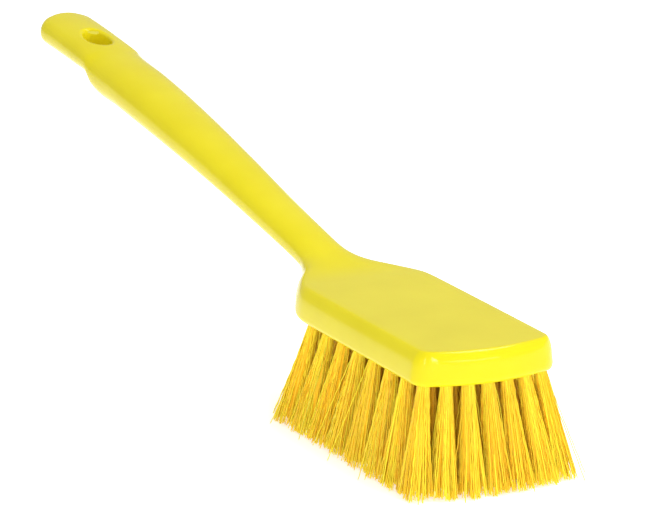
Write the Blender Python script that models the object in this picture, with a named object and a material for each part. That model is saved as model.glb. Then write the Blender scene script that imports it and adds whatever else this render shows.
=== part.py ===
"""A long-handled washing brush: one yellow moulding, handle and head in one, with tufts of crimped
filament set in blind holes in the head's underside.

Metres, +Z up. The brush lies along X with the head's front at +X, its bristles down on z = 0, and its
origin under the middle of its length. Every tuft is an object of its own. Each row across the head
hangs on an empty at the axis about which that row's filaments bend.
"""

import math

import bmesh
import bpy
import numpy as np
from mathutils import Matrix, Vector

MM = 0.001

# Driving dimensions
OVERALL_LENGTH = 410.5 * MM
TIP_OVERHANG = 6.0 * MM  # how far the front filaments lean out past the head
BRISTLE_LENGTH = 41 * MM  # from the head's underside to the trimmed face
FRONT_BOW = 5.4 * MM  # how far the front edge falls back at BOW_HALF_WIDTH
BOW_HALF_WIDTH = 24 * MM
BOW_FADE = 60 * MM  # how far back the bow has straightened out
CORNER_RADIUS = 6 * MM
TOP_EDGE = (2.6 * MM, 6.2 * MM)  # depth and height of the oval that rounds the top edge
BOTTOM_EDGE = (2.4 * MM, 2.8 * MM)
SIDE_DRAFT = 0.034  # the head narrows by this share from its middle to its top

# Tufts
FILES = 7  # across the head
ROWS = 8  # along the head
FILE_PITCH = 7.8 * MM
ROW_PITCH = 13.1 * MM  # along the outer files
FRONT_TUFT_INSET = 7.0 * MM
ROW_BOW = (1.0, -1.2)  # the front row's and the rear row's bow, as shares of the front edge's
TUFT_RADIUS = 2.1 * MM
HOLE_CLEARANCE = 0.4 * MM
HOLE_DEPTH = 8.5 * MM
CUTTER_OVERRUN = 1 * MM
TUFT_SIDES = 10
TIP_SPREAD_Y = 1.27  # the files at the trimmed face, over the files at the holes
TIP_SPREAD_X = 1.17  # the rows, in the same way
TIP_GAP = 0.4 * MM
TIP_SQUARENESS = 4.0  # the power of the bundle's outline at its tip, where 2 is round
KNEE = 0.35  # how far down a tuft its root's round shape has opened out

# Hanging hole
HANG_HOLE_FROM_END = 39 * MM
HANG_HOLE_LENGTH = 20 * MM
HANG_HOLE_WIDTH = 9.5 * MM
HANG_HOLE_CUT = (20 * MM, 90 * MM)  # over the head's underside, so that it runs past both faces

BODY_LENGTH = OVERALL_LENGTH - TIP_OVERHANG
TIP_HALF_X = (ROW_PITCH * TIP_SPREAD_X - TIP_GAP) / 2
TIP_HALF_Y = (FILE_PITCH * TIP_SPREAD_Y - TIP_GAP) / 2
FRONT_X = OVERALL_LENGTH / 2 - TIP_OVERHANG
UNDERSIDE_Z = BRISTLE_LENGTH

# The moulding's sections: distance back from the front, half width, underside and top over the head's
# underside, and roundness, from 0, a slab with rounded edges, to 1, an oval. In millimetres.
SECTIONS = (
    (60.0, 28.2, 0.0, 13.0, 0.0),
    (100.0, 28.0, 0.0, 13.0, 0.0),
    (111.0, 27.2, 0.0, 13.0, 0.05),
    (123.0, 22.2, 0.5, 13.5, 0.20),
    (135.0, 14.2, 3.3, 15.4, 0.60),
    (147.0, 9.9, 6.6, 18.0, 0.95),
    (162.0, 9.3, 9.4, 21.2, 1.0),
    (190.0, 9.6, 14.2, 26.6, 1.0),
    (230.0, 10.6, 20.8, 35.0, 1.0),
    (278.0, 12.1, 28.0, 43.8, 1.0),
    (320.0, 12.9, 33.4, 50.2, 1.0),
    (344.5, 12.9, 36.4, 53.0, 1.0),
    (347.5, 12.8, 38.9, 53.4, 0.95),
    (350.5, 12.7, 41.8, 53.8, 0.85),
    (362.0, 12.5, 43.1, 55.3, 0.6),
    (386.0, 12.4, 45.0, 57.7, 0.5),
    (404.0, 12.4, 46.2, 59.0, 0.5),
)
OVAL_POWER = 2.3
EDGE_GROWTH = ((0, 1.0), (105, 1.0), (120, 1.3), (138, 2.2), (150, 2.6))  # distance back, factor on the edges
END_ROUNDING = 8.5 * MM  # in plan
END_EDGE = 3.8 * MM
FLAT_POINTS = 4  # on half of the top or the underside of a section
EDGE_POINTS = 4  # round one of its edges
LARGEST_EDGE = 0.98  # of the section's half width or half height
SHARPEST_SMOOTH = math.radians(35)

# Where the sections are placed, in millimetres back from the front, close together round each edge
FRONT_PLACES = (0, 0.1, 0.4, 0.9, 1.6, 2.6, 3.8, 6.0, 10.0, 30.0, 60.0)
SHOULDER_PLACES = tuple(np.linspace(98, 166, 19))
HANDLE_PLACES = tuple(np.linspace(174, 330, 15))
STEP_PLACES = (340, 343.5, 344.5, 346, 347.5, 349, 350.5, 352, 356, 363)
TAB_PLACES = (374, 385, 394)
END_PLACES = tuple(BODY_LENGTH / MM - left for left in (8.5, 6.3, 4.4, 2.8, 1.6, 0.7, 0.2, 0.0))


def clear_scene():
    for obj in list(bpy.data.objects):
        bpy.data.objects.remove(obj, do_unlink=True)


def plastic(name, colour, roughness):
    material = bpy.data.materials.new(name)
    material.use_nodes = True
    shader = material.node_tree.nodes["Principled BSDF"]
    shader.inputs["Base Color"].default_value = (*colour, 1)
    shader.inputs["Roughness"].default_value = roughness
    shader.inputs["Metallic"].default_value = 0
    return material


def new_object(name, rings, material, caps):
    """A closed body from rings of equal length. caps is 'fan' for flat ends, or 'strips' for two rows."""
    mesh = bpy.data.meshes.new(name)
    shape = bmesh.new()
    loops = [[shape.verts.new(point) for point in ring] for ring in rings]
    count = len(loops[0])
    for one, two in zip(loops, loops[1:]):
        for a in range(count):
            b = (a + 1) % count
            shape.faces.new((one[a], one[b], two[b], two[a]))
    for loop in (loops[0][::-1], loops[-1]):
        if caps == "fan":
            shape.faces.new(loop)
            continue
        for a in range(count // 2 - 1):
            corners = (loop[a], loop[a + 1], loop[count - 2 - a], loop[count - 1 - a])
            shape.faces.new(corners)
    bmesh.ops.recalc_face_normals(shape, faces=shape.faces)
    shape.to_mesh(mesh)
    shape.free()
    mesh.materials.append(material)
    mesh.shade_smooth()
    mesh.set_sharp_from_angle(angle=SHARPEST_SMOOTH)
    obj = bpy.data.objects.new(name, mesh)
    bpy.context.scene.collection.objects.link(obj)
    return obj


def smooth_curve(stations, values):
    """A monotone cubic through the values, so that no section bulges between two stations."""
    stations = np.asarray(stations, float)
    values = np.asarray(values, float)
    steps = np.diff(stations)
    slopes = np.diff(values) / steps
    tangents = np.concatenate([[slopes[0]], (slopes[:-1] + slopes[1:]) / 2, [slopes[-1]]])
    tangents[1:-1][slopes[:-1] * slopes[1:] <= 0] = 0
    limit = 3 * np.minimum(np.abs(np.append(slopes, slopes[-1])), np.abs(np.insert(slopes, 0, slopes[0])))
    tangents = np.clip(tangents, -limit, limit)

    def at(place):
        place = min(max(place, stations[0]), stations[-1])
        k = min(int(np.searchsorted(stations, place, side="right")) - 1, len(steps) - 1)
        t = (place - stations[k]) / steps[k]
        start = values[k] * (1 + 2 * t) + tangents[k] * steps[k] * t
        end = values[k + 1] * (3 - 2 * t) - tangents[k + 1] * steps[k] * (1 - t)
        return start * (1 - t) ** 2 + end * t**2

    return at


def rounding(distance, depth, height):
    """How far an oval edge has drawn in, at this distance from the end that it rounds."""
    left = max(0.0, 1 - distance / depth)
    return height * (1 - math.sqrt(max(0.0, 1 - left**2)))


def slab_quarter(half_width, half_height, depth, height):
    """From the middle of the flat to the middle of the side, in the quarter where both are positive."""
    depth = min(depth, half_width * LARGEST_EDGE)
    height = min(height, half_height * LARGEST_EDGE)
    points = [((half_width - depth) * k / FLAT_POINTS, half_height) for k in range(FLAT_POINTS)]
    for k in range(EDGE_POINTS + 1):
        angle = math.pi / 2 * (1 - k / EDGE_POINTS)
        y = half_width - depth + depth * math.cos(angle)
        points.append((y, half_height - height + height * math.sin(angle)))
    return points


def oval_quarter(half_width, half_height):
    points = []
    for k in range(FLAT_POINTS + EDGE_POINTS + 1):
        angle = math.pi / 2 * (1 - k / (FLAT_POINTS + EDGE_POINTS))
        y = half_width * math.cos(angle) ** (2 / OVAL_POWER)
        points.append((y, half_height * math.sin(angle) ** (2 / OVAL_POWER)))
    return points


def section(half_width, low, high, roundness, growth):
    """One closed ring as (y, z) pairs: over the top from -Y to +Y, then back along the underside."""
    middle = (low + high) / 2
    half_height = (high - low) / 2
    oval = oval_quarter(half_width, half_height)
    halves = []
    for (depth, height), sign in ((TOP_EDGE, 1), (BOTTOM_EDGE, -1)):
        draft = sign * SIDE_DRAFT / half_height
        slab = slab_quarter(half_width, half_height, depth * growth, height * growth)
        slab = [(y * (1 - draft * z), z) for y, z in slab]
        quarter = [
            (a[0] + (b[0] - a[0]) * roundness, middle + sign * (a[1] + (b[1] - a[1]) * roundness))
            for a, b in zip(slab, oval)
        ]
        halves.append([(-y, z) for y, z in quarter[:0:-1]] + quarter)
    return halves[0], halves[1][::-1]


def body_rings():
    stations = [row[0] * MM for row in SECTIONS]
    curves = [smooth_curve(stations, [row[k] for row in SECTIONS]) for k in range(1, 5)]
    growth = smooth_curve([pair[0] * MM for pair in EDGE_GROWTH], [pair[1] for pair in EDGE_GROWTH])
    places = FRONT_PLACES + SHOULDER_PLACES + HANDLE_PLACES + STEP_PLACES + TAB_PLACES + END_PLACES
    rings = []
    for place in np.array(places) * MM:
        half_width, low, high, roundness = (curve(place) for curve in curves)
        half_width, low, high = half_width * MM, low * MM, high * MM
        left = max(0.0, BODY_LENGTH - place)
        half_width -= rounding(place, CORNER_RADIUS, CORNER_RADIUS)
        half_width -= rounding(left, END_ROUNDING, END_ROUNDING)
        low += rounding(place, *BOTTOM_EDGE) + rounding(left, END_EDGE, END_EDGE)
        high -= rounding(place, *TOP_EDGE) + rounding(left, END_EDGE, END_EDGE)
        over, under = section(half_width, low, high, roundness, growth(place))
        bow = FRONT_BOW * max(0.0, 1 - place / BOW_FADE)
        rings.append(
            [
                (FRONT_X - place - bow * (y / BOW_HALF_WIDTH) ** 2, y, UNDERSIDE_Z + z)
                for y, z in over + under[1:-1]
            ]
        )
    return rings


def prism(name, outline, low, high):
    rings = [[(x, y, z) for x, y in outline] for z in (low, high)]
    obj = new_object(name, rings, bpy.data.materials["cutter"], "fan")
    obj.hide_render = True
    obj.display_type = "WIRE"
    return obj


def oval_outline(centre_x, length, width, steps=28):
    angles = [2 * math.pi * (k + 0.5) / steps for k in range(steps)]
    return [(centre_x + length / 2 * math.cos(a), width / 2 * math.sin(a)) for a in angles]


def file_y(file):
    return (file - (FILES - 1) / 2) * FILE_PITCH


def hole_place(row, file):
    """The centre of a tuft's hole at the underside. Towards the rear the rows bow the other way."""
    y = file_y(file)
    bow = FRONT_BOW * (file_y(FILES - 1) / BOW_HALF_WIDTH) ** 2
    outer_x = FRONT_X - FRONT_TUFT_INSET - bow - row * ROW_PITCH
    row_bow = bow * (ROW_BOW[0] + (ROW_BOW[1] - ROW_BOW[0]) * row / (ROWS - 1))
    return Vector((outer_x + row_bow * (1 - (y / file_y(FILES - 1)) ** 2), y, UNDERSIDE_Z))


def tip_place(row, file):
    """The middle of the same tuft at the trimmed face."""
    hole = hole_place(row, file)
    foremost = FRONT_X + TIP_OVERHANG - TIP_HALF_X
    behind = FRONT_X - FRONT_TUFT_INSET - hole.x
    return Vector((foremost - behind * TIP_SPREAD_X, hole.y * TIP_SPREAD_Y, 0))


def hole_cutters():
    """All the blind holes as one helper mesh."""
    mesh = bpy.data.meshes.new("tuft_holes")
    shape = bmesh.new()
    for row in range(ROWS):
        for file in range(FILES):
            hole = hole_place(row, file)
            depth = HOLE_DEPTH + CUTTER_OVERRUN
            centre = Matrix.Translation(hole + Vector((0, 0, HOLE_DEPTH - depth / 2)))
            bmesh.ops.create_cone(
                shape,
                cap_ends=True,
                segments=TUFT_SIDES,
                radius1=TUFT_RADIUS + HOLE_CLEARANCE,
                radius2=TUFT_RADIUS + HOLE_CLEARANCE,
                depth=depth,
                matrix=centre,
            )
    shape.to_mesh(mesh)
    shape.free()
    obj = bpy.data.objects.new("tuft_holes", mesh)
    bpy.context.scene.collection.objects.link(obj)
    obj.hide_render = True
    obj.display_type = "WIRE"
    return obj


def cut(obj, cutter):
    modifier = obj.modifiers.new(cutter.name, "BOOLEAN")
    modifier.operation = "DIFFERENCE"
    modifier.solver = "EXACT"
    modifier.object = cutter


def make_body(material):
    body = new_object("handle_block", body_rings(), material, "strips")
    centre = FRONT_X - BODY_LENGTH + HANG_HOLE_FROM_END
    outline = oval_outline(centre, HANG_HOLE_LENGTH, HANG_HOLE_WIDTH)
    low, high = (UNDERSIDE_Z + level for level in HANG_HOLE_CUT)
    cut(body, prism("hang_hole", outline, low, high))
    cut(body, hole_cutters())


def tuft_ring(centre, half_x, half_y, squareness):
    points = []
    for k in range(TUFT_SIDES):
        angle = 2 * math.pi * (k + 0.5) / TUFT_SIDES
        c, s = math.cos(angle), math.sin(angle)
        x = half_x * math.copysign(abs(c) ** (2 / squareness), c)
        y = half_y * math.copysign(abs(s) ** (2 / squareness), s)
        points.append(centre + Vector((x, y, 0)))
    return points


def make_tuft(row, file, hinge, material):
    """A tuft: a round root in its hole, then a bundle that leans and spreads to the trimmed face."""
    hole = hole_place(row, file)
    tip = tip_place(row, file) - hole
    root_top = Vector((0, 0, HOLE_DEPTH - HOLE_CLEARANCE))
    rings = [tuft_ring(root_top, TUFT_RADIUS, TUFT_RADIUS, 2)]
    for part in (0.0, KNEE, 1.0):
        half_x = TUFT_RADIUS + (TIP_HALF_X - TUFT_RADIUS) * part
        half_y = TUFT_RADIUS + (TIP_HALF_Y - TUFT_RADIUS) * part
        squareness = 2 + (TIP_SQUARENESS - 2) * part
        rings.append(tuft_ring(tip * part, half_x, half_y, squareness))
    tuft = new_object(f"tuft_{row + 1}_{file + 1}", rings, material, "fan")
    tuft.parent = hinge
    tuft.location = hole - hinge.location


def make_row(row, material):
    middle = sum(hole_place(row, file).x for file in range(FILES)) / FILES
    hinge = bpy.data.objects.new(f"row_{row + 1}_bend_axis", None)
    hinge.location = (middle, 0, UNDERSIDE_Z)
    bpy.context.scene.collection.objects.link(hinge)
    for file in range(FILES):
        make_tuft(row, file, hinge, material)


def main():
    clear_scene()
    plastic("cutter", (0.5, 0.5, 0.5), 0.5)
    make_body(plastic("yellow_polypropylene", (0.80, 0.71, 0.04), 0.35))
    filament = plastic("yellow_filament", (0.87, 0.50, 0.04), 0.45)
    for row in range(ROWS):
        make_row(row, filament)


main()
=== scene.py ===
"""The looks of a long-handled washing brush, built round the frame of its parts. Metres, +Z up.

The moulding is rebuilt finely, with rounded rims on its holes. Each row of tufts becomes a piece of
crimped filaments. A bent wire holds each tuft in its hole.
"""

import math

import bmesh
import bpy
import numpy as np
from mathutils import Matrix, Vector


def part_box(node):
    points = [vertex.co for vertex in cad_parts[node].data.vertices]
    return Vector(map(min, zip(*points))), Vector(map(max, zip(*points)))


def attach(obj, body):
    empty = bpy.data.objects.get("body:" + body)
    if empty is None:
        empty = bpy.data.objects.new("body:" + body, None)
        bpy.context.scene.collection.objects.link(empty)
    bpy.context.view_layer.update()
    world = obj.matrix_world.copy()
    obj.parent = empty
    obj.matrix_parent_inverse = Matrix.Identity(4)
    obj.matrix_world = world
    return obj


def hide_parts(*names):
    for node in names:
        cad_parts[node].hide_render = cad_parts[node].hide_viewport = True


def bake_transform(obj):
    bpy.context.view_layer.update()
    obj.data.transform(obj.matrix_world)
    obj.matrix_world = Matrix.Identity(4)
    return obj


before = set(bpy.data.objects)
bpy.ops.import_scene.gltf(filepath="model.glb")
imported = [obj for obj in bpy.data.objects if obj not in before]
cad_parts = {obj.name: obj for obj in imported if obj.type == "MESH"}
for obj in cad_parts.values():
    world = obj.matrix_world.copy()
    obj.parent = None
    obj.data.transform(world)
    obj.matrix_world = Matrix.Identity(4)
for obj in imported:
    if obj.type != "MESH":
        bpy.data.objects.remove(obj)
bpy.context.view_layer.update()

MM = 0.001
ROWS = 8
FILES = 7

# Read from the frame
BODY_LOW, BODY_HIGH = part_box("handle_block")
FRONT_X = BODY_HIGH.x
BODY_LENGTH = BODY_HIGH.x - BODY_LOW.x
UNDERSIDE_Z = BODY_LOW.z

# The moulding, with the same sizes as the part in the frame
FRONT_BOW = 5.4 * MM  # how far the front edge falls back at BOW_HALF_WIDTH
BOW_HALF_WIDTH = 24 * MM
BOW_FADE = 60 * MM  # how far back the bow has straightened out
CORNER_RADIUS = 6 * MM
TOP_EDGE = (2.6 * MM, 6.2 * MM)  # depth and height of the oval that rounds the top edge
BOTTOM_EDGE = (2.4 * MM, 2.8 * MM)
LARGEST_EDGE = 0.98  # of the section's half width or half height
SIDE_DRAFT = 0.034  # the head narrows by this share from its middle to its top
OVAL_POWER = 2.3
END_ROUNDING = 8.5 * MM  # in plan
END_EDGE = 3.8 * MM
EDGE_GROWTH = ((0, 1.0), (105, 1.0), (120, 1.3), (138, 2.2), (150, 2.6))  # distance back, edges' factor

# Its sections: distance back from the front, half width, underside and top over the head's underside,
# and roundness, from 0, a slab with rounded edges, to 1, an oval. In millimetres.
SECTIONS = (
    (60.0, 28.2, 0.0, 13.0, 0.0),
    (100.0, 28.0, 0.0, 13.0, 0.0),
    (111.0, 27.2, 0.0, 13.0, 0.05),
    (123.0, 22.2, 0.5, 13.5, 0.20),
    (135.0, 14.2, 3.3, 15.4, 0.60),
    (147.0, 9.9, 6.6, 18.0, 0.95),
    (162.0, 9.3, 9.4, 21.2, 1.0),
    (190.0, 9.6, 14.2, 26.6, 1.0),
    (230.0, 10.6, 20.8, 35.0, 1.0),
    (278.0, 12.1, 28.0, 43.8, 1.0),
    (320.0, 12.9, 33.4, 50.2, 1.0),
    (344.5, 12.9, 36.4, 53.0, 1.0),
    (347.5, 12.8, 38.9, 53.4, 0.95),
    (350.5, 12.7, 41.8, 53.8, 0.85),
    (362.0, 12.5, 43.1, 55.3, 0.6),
    (386.0, 12.4, 45.0, 57.7, 0.5),
    (404.0, 12.4, 46.2, 59.0, 0.5),
)
FLAT_POINTS = 10  # on half of the top or the underside of a section
EDGE_POINTS = 9  # round one of its edges
RING_PITCH = 1.6 * MM  # between sections, but for those that round the front and the end
FRONT_RINGS = 14
END_RINGS = 18
MERGE_DISTANCE = 0.001 * MM
SHARPEST_SMOOTH = math.radians(38)

# Its holes
HANG_HOLE_FROM_END = 39 * MM
HANG_HOLE_LENGTH = 20 * MM
HANG_HOLE_WIDTH = 9.5 * MM
RIM_RADIUS = 1.9 * MM
RIM_START = math.radians(16)  # a rim that met the face at no angle would leave slivers
RIM_OVERRUN = (1.35, 0.28)  # how far the cutter goes on past the rim, outwards and upwards, in rim radii
TUFT_HOLE_RADIUS = 2.5 * MM
TUFT_HOLE_DEPTH = 8.5 * MM
TUFT_HOLE_RIM = 0.35 * MM

# The bent wire that holds each tuft down in its hole
ANCHOR_WIRE_RADIUS = 0.3 * MM
ANCHOR_DEPTH = 6.0 * MM  # of its bridge's ends, from the hole's mouth
ANCHOR_SAG = 0.8 * MM  # how far the middle of the bridge hangs below them
ANCHOR_STEPS = 8
WIRE_SIDES = 8

# Filaments
OUTER = 108  # filaments in each tuft that show along their whole length
INNER = 76  # and those inside it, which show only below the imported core
OUTER_FROM = 0.82  # where in the tuft's radius the outer ones begin
FILAMENT_RADIUS = 0.19 * MM
RADIUS_RANGE = (0.88, 1.12)
FILAMENT_SIDES = 3
ROOT_RADIUS = 2.2 * MM
ROOT_JITTER = 0.035  # of the tuft's radius
STEPS_BELOW = 30
INNER_STEPS = 9
INNER_START = 0.64  # how far down the inner ones come out of the core
FLARE_POWER = 1.12  # how late a tuft opens out on its way down
SEED = 11

# Their tips
TIP_FILL = 0.94  # how much of its space a bundle takes at its tip
TIP_SQUARENESS = 0.8  # from 0, round, to 1, square
CLUMPS = 12  # strands that lie together within a tuft
CLUMP_WANDER = 0.35 * MM
OWN_WANDER = 0.4 * MM
STRAYS = 0.03  # the share of the outer filaments that stand off from their bundle
STRAY_FROM = 0.8  # where in the tuft's radius they begin
STRAY_REACH = (1.5 * MM, 6.0 * MM)
CLUMP_SHORT = 0.75 * MM  # how far a clump typically ends above the surface the brush stands on
OWN_SHORT = 0.4 * MM  # and a filament above its clump
BROKEN = 0.06  # the share of filaments that end well above it
BROKEN_SHORT = (0.8 * MM, 3.5 * MM)

# Their crimp, and the slow wander that comes with it
CRIMP_LENGTH = 6.0 * MM
CRIMP_HEIGHT = 0.13 * MM
CRIMP_LENGTH_RANGE = (0.85, 1.15)
CRIMP_HEIGHT_RANGE = (0.5, 1.4)
CRIMP_START = 6 * MM  # how far below the head it has grown to its full height
WANDER = 0.22 * MM
WANDER_TURNS = 1.7  # half waves of the wander in a filament's length

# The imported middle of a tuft
CORE_SHARE = 0.9  # its size over the bundle's
CORE_END = 0.9  # how far down it reaches
CORE_TAPER = 0.45  # how much smaller it is there
TAPER_POWER = 5
CORE_SIDES = 40
CORE_STEPS = 14
CORE_RIDGE = 0.07  # how much its packed filaments vary in how far they stand out
INSIDE_PAINTED_SHADE = 0.0  # painted shade: the tone of what lies inside the brush, darker and more orange where light comes only through other filaments

# The camera, set from the head's front, with the handle running away to the upper left
CAMERA_AZIMUTH = math.radians(62.94)
CAMERA_ELEVATION = math.radians(16.26)
CAMERA_DISTANCE = 1.92
CAMERA_LENS = 293.5
AIM_LEFT = 0.0607  # from the head's front to the middle of the view
AIM_UP = 0.0444
FRONT_SETBACK = 0.5 * MM  # of the point it is set from, behind the front's foremost one

# Lights: where each one is, what it is aimed at, its width and height, and its power
LIGHTS = {
    "overhead": ((0.3, 0.5, 1.5), (0.05, 0, 0.05), (1.0, 0.6), 19),
    "low_strip": ((1.7, 0.2, 0.27), (0.19, 0, 0.05), (1.1, 0.02), 3),
    "side": ((0.84, -1.6, 0.2), (0.19, 0, 0.04), (0.12, 0.3), 1.5),
    "fill": ((1.5, -0.85, 0.3), (0.15, 0, 0.03), (0.5, 0.3), 9),
}
WORLD_STRENGTH = 0.5
FLOOR_REACH = 40.0


def new_object(name, points, faces, material):
    mesh = bpy.data.meshes.new(name)
    mesh.from_pydata([tuple(p) for p in points], [], [tuple(f) for f in faces])
    mesh.materials.append(material)
    mesh.shade_smooth()
    mesh.update()
    obj = bpy.data.objects.new(name, mesh)
    bpy.context.scene.collection.objects.link(obj)
    return obj


# Shapes of the moulding


def smooth_curve(stations, values):
    """A monotone cubic through the values, so that no section bulges between two stations."""
    stations = np.asarray(stations, float)
    values = np.asarray(values, float)
    steps = np.diff(stations)
    slopes = np.diff(values) / steps
    tangents = np.concatenate([[slopes[0]], (slopes[:-1] + slopes[1:]) / 2, [slopes[-1]]])
    tangents[1:-1][slopes[:-1] * slopes[1:] <= 0] = 0
    limit = 3 * np.minimum(np.abs(np.append(slopes, slopes[-1])), np.abs(np.insert(slopes, 0, slopes[0])))
    tangents = np.clip(tangents, -limit, limit)

    def at(place):
        place = min(max(place, stations[0]), stations[-1])
        k = min(int(np.searchsorted(stations, place, side="right")) - 1, len(steps) - 1)
        t = (place - stations[k]) / steps[k]
        start = values[k] * (1 + 2 * t) + tangents[k] * steps[k] * t
        end = values[k + 1] * (3 - 2 * t) - tangents[k + 1] * steps[k] * (1 - t)
        return start * (1 - t) ** 2 + end * t**2

    return at


SECTION_CURVES = [
    smooth_curve([row[0] * MM for row in SECTIONS], [row[k] for row in SECTIONS]) for k in range(1, 5)
]
EDGE_CURVE = smooth_curve([pair[0] * MM for pair in EDGE_GROWTH], [pair[1] for pair in EDGE_GROWTH])


def rounding(distance, depth, height):
    """How far an oval edge has drawn in, at this distance from the end that it rounds."""
    left = max(0.0, 1 - distance / depth)
    return height * (1 - math.sqrt(max(0.0, 1 - left**2)))


def slab_quarter(half_width, half_height, depth, height):
    depth = min(depth, half_width * LARGEST_EDGE)
    height = min(height, half_height * LARGEST_EDGE)
    points = [((half_width - depth) * k / FLAT_POINTS, half_height) for k in range(FLAT_POINTS)]
    for k in range(EDGE_POINTS + 1):
        angle = math.pi / 2 * (1 - k / EDGE_POINTS)
        y = half_width - depth + depth * math.cos(angle)
        points.append((y, half_height - height + height * math.sin(angle)))
    return points


def oval_quarter(half_width, half_height):
    points = []
    for k in range(FLAT_POINTS + EDGE_POINTS + 1):
        angle = math.pi / 2 * (1 - k / (FLAT_POINTS + EDGE_POINTS))
        y = half_width * math.cos(angle) ** (2 / OVAL_POWER)
        points.append((y, half_height * math.sin(angle) ** (2 / OVAL_POWER)))
    return points


def section_at(place):
    """The section this far back from the front: its top, then its underside, each from -Y to +Y."""
    half_width, low, high, roundness = (curve(place) for curve in SECTION_CURVES)
    half_width, low, high = half_width * MM, low * MM, high * MM
    left = max(0.0, BODY_LENGTH - place)
    half_width -= rounding(place, CORNER_RADIUS, CORNER_RADIUS)
    half_width -= rounding(left, END_ROUNDING, END_ROUNDING)
    low += rounding(place, *BOTTOM_EDGE) + rounding(left, END_EDGE, END_EDGE)
    high -= rounding(place, *TOP_EDGE) + rounding(left, END_EDGE, END_EDGE)
    middle = (low + high) / 2
    half_height = (high - low) / 2
    oval = oval_quarter(half_width, half_height)
    halves = []
    growth = EDGE_CURVE(place)
    for (depth, height), sign in ((TOP_EDGE, 1), (BOTTOM_EDGE, -1)):
        slab = slab_quarter(half_width, half_height, depth * growth, height * growth)
        draft = sign * SIDE_DRAFT / half_height
        quarter = [
            (
                a[0] * (1 - draft * a[1]) * (1 - roundness) + b[0] * roundness,
                UNDERSIDE_Z + middle + sign * (a[1] * (1 - roundness) + b[1] * roundness),
            )
            for a, b in zip(slab, oval)
        ]
        halves.append([(-y, z) for y, z in quarter[:0:-1]] + quarter)
    return halves


def edge_places(length, count):
    """Places close together at an edge that is rounded over this length, as an arc has them."""
    return [length * (1 - math.sin(math.pi / 2 * (1 - k / count))) for k in range(count)]


def body_places():
    front = edge_places(CORNER_RADIUS, FRONT_RINGS)
    end = [BODY_LENGTH - place for place in edge_places(END_ROUNDING, END_RINGS)]
    between = np.arange(CORNER_RADIUS, BODY_LENGTH - END_ROUNDING, RING_PITCH)
    return front + list(between) + end[::-1]


def body_mesh(material):
    points = []
    places = body_places()
    for place in places:
        over, under = section_at(place)
        bow = FRONT_BOW * max(0.0, 1 - place / BOW_FADE)
        for y, z in over + under[-2:0:-1]:
            points.append((FRONT_X - place - bow * (y / BOW_HALF_WIDTH) ** 2, y, z))
    count = len(points) // len(places)
    faces = []
    for ring in range(len(places) - 1):
        start = ring * count
        for a in range(count):
            b = (a + 1) % count
            faces.append((start + a, start + b, start + count + b, start + count + a))
    for start, turn in ((0, -1), (len(points) - count, 1)):
        for a in range(count // 2 - 1):
            corners = (start + a, start + a + 1, start + count - 2 - a, start + count - 1 - a)
            faces.append(corners[::turn])
    body = new_object("handle_and_head", points, faces, material)
    shape = bmesh.new()
    shape.from_mesh(body.data)
    bmesh.ops.dissolve_degenerate(shape, edges=shape.edges, dist=MERGE_DISTANCE)
    bmesh.ops.recalc_face_normals(shape, faces=shape.faces)
    shape.to_mesh(body.data)
    shape.free()
    return body


def surface_z(x, y, side):
    """The height of the moulding's top, side 0, or underside, side 1, on the handle."""
    half = section_at(FRONT_X - x)[side]
    return float(np.interp(y, [p[0] for p in half], [p[1] for p in half]))


def hang_hole_cutter(steps=96, arc=9):
    """An oval that flares at both faces, so that its rims come out rounded."""
    centre_x = FRONT_X - BODY_LENGTH + HANG_HOLE_FROM_END
    turns = [RIM_START + (math.pi / 2 - RIM_START) * k / arc for k in range(arc + 1)]
    levels = [(RIM_RADIUS * (1 - math.sin(t)), RIM_RADIUS * (1 - math.cos(t))) for t in turns]
    outside = (RIM_RADIUS * RIM_OVERRUN[0], -RIM_RADIUS * RIM_OVERRUN[1])
    points = []
    rings = [(0, *outside)] + [(0, *level) for level in levels]
    rings += [(1, *level) for level in levels[::-1]] + [(1, *outside)]
    for side, grown, depth in rings:
        for k in range(steps):
            angle = 2 * math.pi * (k + 0.5) / steps
            x = centre_x + (HANG_HOLE_LENGTH / 2 + grown) * math.cos(angle)
            y = (HANG_HOLE_WIDTH / 2 + grown) * math.sin(angle)
            points.append((x, y, surface_z(x, y, side) + (depth if side else -depth)))
    return closed_rings("hang_hole_cutter", points, steps)


def closed_rings(name, points, count):
    """A closed helper body from rings of points, with flat ends."""
    faces = []
    for start in range(0, len(points) - count, count):
        for a in range(count):
            b = (a + 1) % count
            faces.append((start + a, start + b, start + count + b, start + count + a))
    faces.append(tuple(range(count))[::-1])
    faces.append(tuple(range(len(points) - count, len(points))))
    mesh = bpy.data.meshes.new(name)
    mesh.from_pydata(points, [], faces)
    shape = bmesh.new()
    shape.from_mesh(mesh)
    bmesh.ops.recalc_face_normals(shape, faces=shape.faces)
    shape.to_mesh(mesh)
    shape.free()
    return bpy.data.objects.new(name, mesh)


def tuft_ends(node):
    """The middle of a tuft's root and of its trimmed face, and the half sizes of that face."""
    points = np.array([v.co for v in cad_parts[node].data.vertices])
    near = 0.1 * MM
    root = points[points[:, 2] > points[:, 2].max() - near]
    tip = points[points[:, 2] < points[:, 2].min() + near]
    root_middle = (root.min(0) + root.max(0)) / 2
    tip_middle = (tip.min(0) + tip.max(0)) / 2
    return root_middle, tip_middle, (tip.max(0) - tip.min(0))[:2] / 2


def tuft_node(row, file):
    return f"tuft_{row}_{file}"


def tuft_roots():
    """The middle of each tuft's root, at the top of its hole."""
    nodes = [tuft_node(row, file) for row in range(1, ROWS + 1) for file in range(1, FILES + 1)]
    return [tuft_ends(node)[0] for node in nodes]


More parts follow.
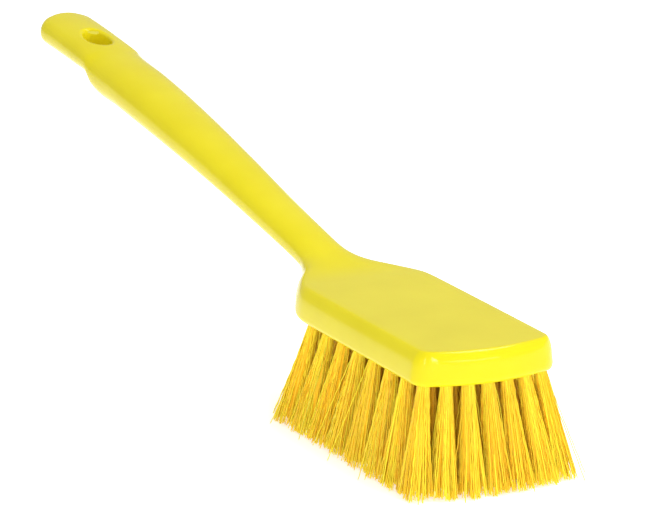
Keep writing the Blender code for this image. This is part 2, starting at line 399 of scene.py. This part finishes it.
def tuft_hole_cutter(steps=20):
    """All the blind holes, each with a small countersink, as one helper."""
    levels = (
        (TUFT_HOLE_RADIUS + 2 * TUFT_HOLE_RIM, -TUFT_HOLE_RIM),
        (TUFT_HOLE_RADIUS, TUFT_HOLE_RIM),
        (TUFT_HOLE_RADIUS, TUFT_HOLE_DEPTH),
    )
    shape = bmesh.new()
    for root in tuft_roots():
        points = [
            (
                root[0] + radius * math.cos(2 * math.pi * k / steps),
                root[1] + radius * math.sin(2 * math.pi * k / steps),
                UNDERSIDE_Z + height,
            )
            for radius, height in levels
            for k in range(steps)
        ]
        helper = closed_rings("hole", points, steps)
        shape.from_mesh(helper.data)
        bpy.data.objects.remove(helper)
    mesh = bpy.data.meshes.new("tuft_holes")
    shape.to_mesh(mesh)
    shape.free()
    return bpy.data.objects.new("tuft_holes", mesh)


def cut_away(body, cutter):
    """Cuts the helper's shape out of the body for good, and removes the helper."""
    bpy.context.scene.collection.objects.link(cutter)
    modifier = body.modifiers.new(cutter.name, "BOOLEAN")
    modifier.operation = "DIFFERENCE"
    modifier.solver = "EXACT"
    modifier.object = cutter
    graph = bpy.context.evaluated_depsgraph_get()
    cut = bpy.data.meshes.new_from_object(body.evaluated_get(graph))
    body.modifiers.clear()
    body.data = cut
    bpy.data.objects.remove(cutter)


def make_moulding(material):
    body = body_mesh(material)
    cut_away(body, hang_hole_cutter())
    cut_away(body, tuft_hole_cutter())
    body.data.materials.clear()
    body.data.materials.append(material)
    body.data.shade_smooth()
    body.data.set_sharp_from_angle(angle=SHARPEST_SMOOTH)
    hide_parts("handle_block")
    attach(body, "head_and_handle")


# Filaments


def ring_points(count, inside, outside, rng):
    """Evenly spread points between two radii of a unit disc, a little out of line."""
    k = np.arange(count) + 0.5
    radius = np.sqrt(inside**2 + (outside**2 - inside**2) * k / count)
    angle = k * math.pi * (3 - math.sqrt(5)) + rng.uniform(0, 2 * math.pi)
    points = np.stack([radius * np.cos(angle), radius * np.sin(angle)], 1)
    return points + rng.normal(0, ROOT_JITTER, points.shape)


def squared(points, share):
    """Moves a disc's points part of the way to the square round it."""
    reach = np.abs(points).max(1)
    stretch = np.linalg.norm(points, axis=1) / np.maximum(reach, 1e-6)
    return points * (1 + share * (stretch - 1))[:, None]


def bundle(node, disc, at_tip, depth):
    """Points of a tuft, as (line, step, xy), for places in its unit disc and depths below the head."""
    root, tip, _ = tuft_ends(node)
    flare = depth**FLARE_POWER
    return (
        root[:2]
        + (tip - root)[:2] * depth[None, :, None]
        + disc[:, None, :] * ROOT_RADIUS * (1 - flare)[None, :, None]
        + at_tip[:, None, :] * flare[None, :, None]
    )


def tip_places(node, disc, rng):
    """Where filaments end, about the middle of their tuft's tip, gathered a little into clumps."""
    tip_half = tuft_ends(node)[2]
    clump = (np.arctan2(disc[:, 1], disc[:, 0]) / (2 * math.pi) * CLUMPS).astype(int) % CLUMPS
    at_tip = squared(disc, TIP_SQUARENESS) * tip_half * TIP_FILL
    at_tip += rng.normal(0, CLUMP_WANDER, (CLUMPS, 2))[clump] + rng.normal(0, OWN_WANDER, disc.shape)
    reach = np.linalg.norm(disc, axis=1)
    stray = (rng.random(len(disc)) < STRAYS) * (reach > STRAY_FROM)
    outward = disc / np.maximum(reach, STRAY_FROM)[:, None]
    at_tip += outward * (stray * rng.uniform(*STRAY_REACH, len(disc)))[:, None]
    short = np.abs(rng.normal(0, CLUMP_SHORT, CLUMPS))[clump]
    short += np.abs(rng.normal(0, OWN_SHORT, len(disc)))
    short += (rng.random(len(disc)) < BROKEN) * rng.uniform(*BROKEN_SHORT, len(disc))
    return at_tip, short


def filament_paths(node, disc, start, steps, rng):
    """The centre lines of a tuft's filaments, as (filament, step, xyz), from this depth to the tips."""
    depth = np.linspace(start, 1, steps + 1)
    at_tip, short = tip_places(node, disc, rng)
    paths = np.zeros((len(disc), len(depth), 3))
    paths[:, :, :2] = bundle(node, disc, at_tip, depth) + waves(len(disc), depth, rng)
    paths[:, :, 2] = UNDERSIDE_Z * (1 - depth) + (FILAMENT_RADIUS + short)[:, None] * depth
    if start == 0:
        in_hole = paths[:, :1].copy()
        in_hole[:, :, 2] = tuft_ends(node)[0][2]
        paths = np.concatenate([in_hole, paths], axis=1)
    return paths


def waves(count, depth, rng):
    """The crimp of each filament and its slow wander, sideways, growing from nothing at the root."""
    below = depth[None, :] * UNDERSIDE_Z
    grown = np.clip(below / CRIMP_START, 0, 1)
    phase = rng.uniform(0, 2 * math.pi, (count, 1))
    length = CRIMP_LENGTH * rng.uniform(*CRIMP_LENGTH_RANGE, (count, 1))
    height = CRIMP_HEIGHT * rng.uniform(*CRIMP_HEIGHT_RANGE, (count, 1))
    crimp = height * np.sin(2 * math.pi * below / length + phase) * grown
    way = rng.uniform(0, 2 * math.pi, (count, 1))
    slow = rng.normal(0, WANDER, (count, 1)) * np.sin(math.pi * depth[None, :] * WANDER_TURNS + phase)
    slow *= grown
    x = crimp * np.cos(way) + slow * np.sin(way + 1)
    y = crimp * np.sin(way) + slow * np.cos(way + 1)
    return np.stack([x, y], 2)


def core(node, rng):
    """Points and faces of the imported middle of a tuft, ridged by the filaments that lie along it."""
    angles = 2 * math.pi * np.arange(CORE_SIDES) / CORE_SIDES
    ridge = 1 + CORE_RIDGE * rng.uniform(-1, 1, CORE_SIDES)
    disc = np.stack([np.cos(angles), np.sin(angles)], 1) * (CORE_SHARE * ridge)[:, None]
    depth = np.linspace(0, CORE_END, CORE_STEPS + 1)
    at_tip = squared(disc, TIP_SQUARENESS) * tuft_ends(node)[2] * TIP_FILL
    lines = bundle(node, disc, at_tip, depth)
    middle = bundle(node, disc * 0, disc * 0, depth)
    lines += (middle - lines) * CORE_TAPER * (depth[None, :, None] / CORE_END) ** TAPER_POWER
    points = np.zeros((CORE_STEPS + 2, CORE_SIDES, 3))
    points[1:, :, :2] = lines.transpose(1, 0, 2)
    points[1:, :, 2] = (UNDERSIDE_Z * (1 - depth))[:, None]
    points[0] = points[1]
    points[0, :, 2] = tuft_ends(node)[0][2]
    ring = (np.arange(CORE_STEPS + 1) * CORE_SIDES)[:, None]
    a = ring + np.arange(CORE_SIDES)[None, :]
    b = ring + (np.arange(CORE_SIDES)[None, :] + 1) % CORE_SIDES
    walls = np.stack([a, a + CORE_SIDES, b + CORE_SIDES, b], -1).reshape(-1, 4).tolist()
    last = (CORE_STEPS + 1) * CORE_SIDES
    caps = [list(range(CORE_SIDES)), list(range(last, last + CORE_SIDES))[::-1]]
    return points.reshape(-1, 3), walls + caps


def tubes(paths, radius, sides, turn):
    """Points and faces of a closed tube along each path, turned about it from this horizontal angle."""
    count, steps, _ = paths.shape
    along = np.gradient(paths, axis=1)
    along /= np.linalg.norm(along, axis=2, keepdims=True)
    reference = np.stack([np.cos(turn), np.sin(turn), np.zeros(count)], 1)[:, None, :]
    across = np.cross(along, reference)
    across /= np.linalg.norm(across, axis=2, keepdims=True)
    other = np.cross(along, across)
    angles = 2 * math.pi * np.arange(sides) / sides
    ring = (
        across[:, :, None, :] * np.cos(angles)[None, None, :, None]
        + other[:, :, None, :] * np.sin(angles)[None, None, :, None]
    )
    points = paths[:, :, None, :] + ring * radius[:, None, None, None]

    first = (np.arange(count) * steps * sides)[:, None, None]
    ring_start = (np.arange(steps - 1) * sides)[None, :, None]
    k = np.arange(sides)[None, None, :]
    following = (k + 1) % sides
    a = first + ring_start + k
    b = first + ring_start + following
    walls = np.stack([a, b, b + sides, a + sides], -1).reshape(-1, 4)
    start = first[:, 0] + np.arange(sides)[None, ::-1]
    end = first[:, 0] + (steps - 1) * sides + np.arange(sides)[None, :]
    return points.reshape(-1, 3), walls.tolist() + start.tolist() + end.tolist()


def add_up(pieces):
    """One list of points and one of faces from several, and how many points each of them has."""
    points = np.concatenate([piece[0] for piece in pieces])
    faces = []
    start = 0
    for own_points, own_faces in pieces:
        faces += [[corner + start for corner in face] for face in own_faces]
        start += len(own_points)
    return points, faces, [len(piece[0]) for piece in pieces]


def filament_tubes(paths, rng):
    radius = FILAMENT_RADIUS * rng.uniform(*RADIUS_RANGE, len(paths))
    return tubes(paths, radius, FILAMENT_SIDES, rng.uniform(0, 2 * math.pi, len(paths)))


def tones_and_painted_shade_along(row, paths, rng):
    """The tone of each filament's points: its own at the tip, and at the root a painted shade inside the
    brush, for light that reaches there only through other filaments.
    """
    file = np.arange(len(paths)) * FILES // len(paths)
    outside = (row in (1, ROWS)) | (file == 0) | (file == FILES - 1)
    # Painted shade: filaments inside the brush start from the darkest, most orange tone at their roots.
    painted_shade_at_root = np.where(outside, 1.0, INSIDE_PAINTED_SHADE)[:, None]
    depth = np.clip((UNDERSIDE_Z - paths[:, :, 2]) / UNDERSIDE_Z, 0, 1)
    own = rng.random(len(paths))[:, None]
    tone_and_shade = own * (painted_shade_at_root + (1 - painted_shade_at_root) * depth**2)
    return np.repeat(tone_and_shade.ravel(), FILAMENT_SIDES)


def row_paths(nodes, rng):
    """The centre lines of a row's outer filaments, and those of its inner ones."""
    outer = [
        filament_paths(node, ring_points(OUTER, OUTER_FROM, 1.0, rng), 0, STEPS_BELOW, rng)
        for node in nodes
    ]
    inner = [
        filament_paths(node, ring_points(INNER, 0, OUTER_FROM, rng), INNER_START, INNER_STEPS, rng)
        for node in nodes
    ]
    return np.concatenate(outer), np.concatenate(inner)


def make_row(row, material):
    rng = np.random.default_rng(SEED + row)
    nodes = [tuft_node(row, file) for file in range(1, FILES + 1)]
    paths = row_paths(nodes, rng)
    pieces = [filament_tubes(lines, rng) for lines in paths] + [core(node, rng) for node in nodes]
    points, faces, sizes = add_up(pieces)
    obj = new_object(f"filaments_row_{row}", points, faces, material)
    tones_and_shade = [tones_and_painted_shade_along(row, lines, rng) for lines in paths]
    # The cores are painted all over with the inside shade.
    tones_and_shade += [np.full(size, INSIDE_PAINTED_SHADE) for size in sizes[len(paths) :]]
    obj.data.attributes.new("tone_and_shade", "FLOAT", "POINT").data.foreach_set("value", np.concatenate(tones_and_shade))
    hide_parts(*nodes)
    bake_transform(obj)


def anchor_line(root):
    """The centre line of a staple across a hole: its bridge runs along X and its legs go on up."""
    reach = TUFT_HOLE_RADIUS - ANCHOR_WIRE_RADIUS
    bridge = UNDERSIDE_Z + ANCHOR_DEPTH
    angles = np.linspace(0, math.pi, ANCHOR_STEPS)
    line = [(root[0] - reach * math.cos(a), root[1], bridge - ANCHOR_SAG * math.sin(a)) for a in angles]
    legs = [(root[0] + side * reach, root[1], UNDERSIDE_Z + TUFT_HOLE_DEPTH) for side in (-1, 1)]
    return [legs[0]] + line + [legs[1]]


def make_anchors(material):
    lines = np.array([anchor_line(root) for root in tuft_roots()])
    radius = np.full(len(lines), ANCHOR_WIRE_RADIUS)
    points, faces = tubes(lines, radius, WIRE_SIDES, np.full(len(lines), math.pi / 2))
    anchors = new_object("tuft_anchors", points, faces, material)
    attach(anchors, "head_and_handle")


# Materials


def new_material(name):
    material = bpy.data.materials.new(name)
    material.use_nodes = True
    return material, material.node_tree, material.node_tree.nodes["Principled BSDF"]


def noise(tree, scale, detail=2.0):
    """Noise in the object's own coordinates, with this many cells to the metre."""
    place = tree.nodes.new("ShaderNodeTexCoord")
    node = tree.nodes.new("ShaderNodeTexNoise")
    node.inputs["Scale"].default_value = scale
    node.inputs["Detail"].default_value = detail
    tree.links.new(place.outputs["Object"], node.inputs["Vector"])
    return node


def ramp(tree, factor, low, high):
    """A colour from low, where the factor is 0, to high, where it is 1."""
    node = tree.nodes.new("ShaderNodeMix")
    node.data_type = "RGBA"
    node.inputs["A"].default_value = (*low, 1)
    node.inputs["B"].default_value = (*high, 1)
    tree.links.new(factor, node.inputs["Factor"])
    return node.outputs["Result"]


def spread(tree, value, low, high):
    """Maps noise, which lies mostly between 0.3 and 0.7, to this range."""
    node = tree.nodes.new("ShaderNodeMapRange")
    node.inputs["From Min"].default_value = 0.3
    node.inputs["From Max"].default_value = 0.7
    node.inputs["To Min"].default_value = low
    node.inputs["To Max"].default_value = high
    tree.links.new(value, node.inputs["Value"])
    return node.outputs["Result"]


def moulded_plastic():
    """Satin polypropylene: slightly cloudy in colour and gloss, with a faint ripple from the mould."""
    material, tree, shader = new_material("moulded_yellow_polypropylene")
    cloud = spread(tree, noise(tree, scale=38).outputs["Fac"], 0, 1)
    colour = ramp(tree, cloud, (0.69, 0.59, 0.008), (0.73, 0.63, 0.011))
    tree.links.new(colour, shader.inputs["Base Color"])
    gloss = spread(tree, noise(tree, scale=420, detail=3).outputs["Fac"], 0.13, 0.17)
    tree.links.new(gloss, shader.inputs["Roughness"])
    shader.inputs["Specular IOR Level"].default_value = 0.18
    shader.inputs["Subsurface Weight"].default_value = 0.12
    shader.inputs["Subsurface Radius"].default_value = (1.0, 0.7, 0.15)
    shader.inputs["Subsurface Scale"].default_value = 2.0 * MM
    bump = tree.nodes.new("ShaderNodeBump")
    bump.inputs["Strength"].default_value = 0.03
    bump.inputs["Distance"].default_value = 0.05 * MM
    tree.links.new(noise(tree, scale=900).outputs["Fac"], bump.inputs["Height"])
    tree.links.new(bump.outputs["Normal"], shader.inputs["Normal"])
    return material


def filament_plastic():
    """Drawn translucent filament, each one a little different in tone, with painted shade where it lies
    inside the brush.
    """
    material, tree, shader = new_material("crimped_yellow_filament")
    tone_and_shade = tree.nodes.new("ShaderNodeAttribute")
    tone_and_shade.attribute_name = "tone_and_shade"
    # From orange to yellow: each filament's own tone spreads over this range, and the painted inside
    # shade pulls it to the orange end.
    colour = ramp(tree, tone_and_shade.outputs["Fac"], (1.0, 0.58, 0.016), (1.0, 0.88, 0.04))
    tree.links.new(colour, shader.inputs["Base Color"])
    shader.inputs["Roughness"].default_value = 0.42
    shader.inputs["Specular IOR Level"].default_value = 0.3
    return material


def drawn_wire():
    """Galvanised steel wire, a little uneven in gloss."""
    material, tree, shader = new_material("galvanised_wire")
    gloss = spread(tree, noise(tree, scale=1500).outputs["Fac"], 0.28, 0.45)
    tree.links.new(gloss, shader.inputs["Roughness"])
    shader.inputs["Base Color"].default_value = (0.62, 0.62, 0.60, 1)
    shader.inputs["Metallic"].default_value = 1.0
    return material


# Studio


def make_floor():
    mesh = bpy.data.meshes.new("floor")
    reach = FLOOR_REACH
    corners = [(-reach, -reach, 0), (reach, -reach, 0), (reach, reach, 0), (-reach, reach, 0)]
    mesh.from_pydata(corners, [], [(0, 1, 2, 3)])
    material, _, shader = new_material("pale_floor")
    shader.inputs["Base Color"].default_value = (0.95, 0.95, 0.95, 1)
    shader.inputs["Emission Color"].default_value = (1, 1, 1, 1)
    shader.inputs["Emission Strength"].default_value = 0.5
    shader.inputs["Roughness"].default_value = 0.8
    mesh.materials.append(material)
    floor = bpy.data.objects.new("floor", mesh)
    bpy.context.scene.collection.objects.link(floor)


def make_world():
    world = bpy.data.worlds.new("studio")
    world.use_nodes = True
    background = world.node_tree.nodes["Background"]
    background.inputs["Color"].default_value = (1, 1, 1, 1)
    background.inputs["Strength"].default_value = WORLD_STRENGTH
    bpy.context.scene.world = world


def soft_light(name, place, aim, size, power):
    light = bpy.data.lights.new(name, "AREA")
    light.shape = "RECTANGLE"
    light.size, light.size_y = size
    light.energy = power
    obj = bpy.data.objects.new(name, light)
    obj.location = place
    obj.rotation_euler = (Vector(aim) - Vector(place)).to_track_quat("-Z", "Y").to_euler()
    bpy.context.scene.collection.objects.link(obj)


def make_camera():
    azimuth, elevation = CAMERA_AZIMUTH, CAMERA_ELEVATION
    back = Vector(
        (
            math.sin(azimuth) * math.cos(elevation),
            -math.cos(azimuth) * math.cos(elevation),
            math.sin(elevation),
        )
    )
    right = Vector((math.cos(azimuth), math.sin(azimuth), 0))
    front = Vector((FRONT_X - FRONT_SETBACK, 0, UNDERSIDE_Z))
    place = front + back * CAMERA_DISTANCE
    aim = front - right * AIM_LEFT + back.cross(right) * AIM_UP
    look_back = (place - aim).normalized()
    side = (right - look_back * right.dot(look_back)).normalized()
    turn = Matrix((side, look_back.cross(side), look_back)).transposed()
    camera = bpy.data.objects.new("camera", bpy.data.cameras.new("camera"))
    camera.data.lens = CAMERA_LENS
    camera.data.clip_end = 2 * FLOOR_REACH
    camera.matrix_world = Matrix.Translation(place) @ turn.to_4x4()
    bpy.context.scene.collection.objects.link(camera)
    bpy.context.scene.camera = camera


def main():
    make_moulding(moulded_plastic())
    filament = filament_plastic()
    for row in range(1, ROWS + 1):
        make_row(row, filament)
    make_anchors(drawn_wire())
    make_floor()
    make_world()
    for name, settings in LIGHTS.items():
        soft_light(name, *settings)
    make_camera()
    bpy.context.scene.view_settings.view_transform = "Standard"


main()
